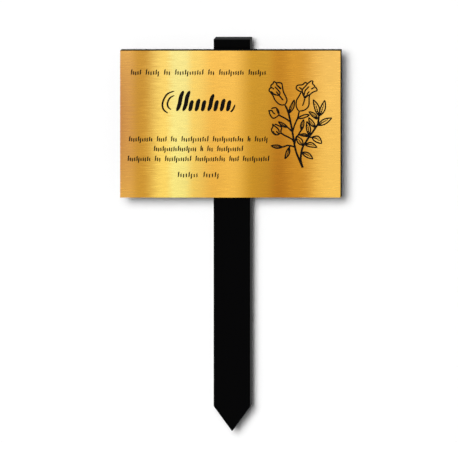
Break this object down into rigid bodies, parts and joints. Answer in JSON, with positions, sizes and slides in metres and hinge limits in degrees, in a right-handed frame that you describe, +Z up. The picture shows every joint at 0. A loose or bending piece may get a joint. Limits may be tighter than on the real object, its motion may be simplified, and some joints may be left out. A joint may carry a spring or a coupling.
{
  "type": "grave plaque with stake",
  "caption": "Flat rectangular memorial plaque, gold coloured over a black core and engraved with a flower spray, glued upright to a flat black stake with a pointed lower end.",
  "frame": {"origin": "middle of the stake's back face, at the level where the ground comes to when the stake is pushed in", "axes": "+Z up along the stake, +Y out of the stake's back face, +X to the right when the plaque is read from the front, so the engraved front faces -Y"},
  "size_m": [0.15, 0.0085, 0.2669],
  "materials": {
    "brushed_gold": "metallic gold cap of engraving laminate, brushed along its width",
    "black_core": "matt black core of the laminate, seen at its edges, on its back and in the engraving",
    "black_acrylic": "smooth black acrylic with fine saw lines on its cut edges"
  },
  "bodies": {
    "root": {"plaque": "brushed_gold", "stake": "black_acrylic"}
  },
  "joints": []
}
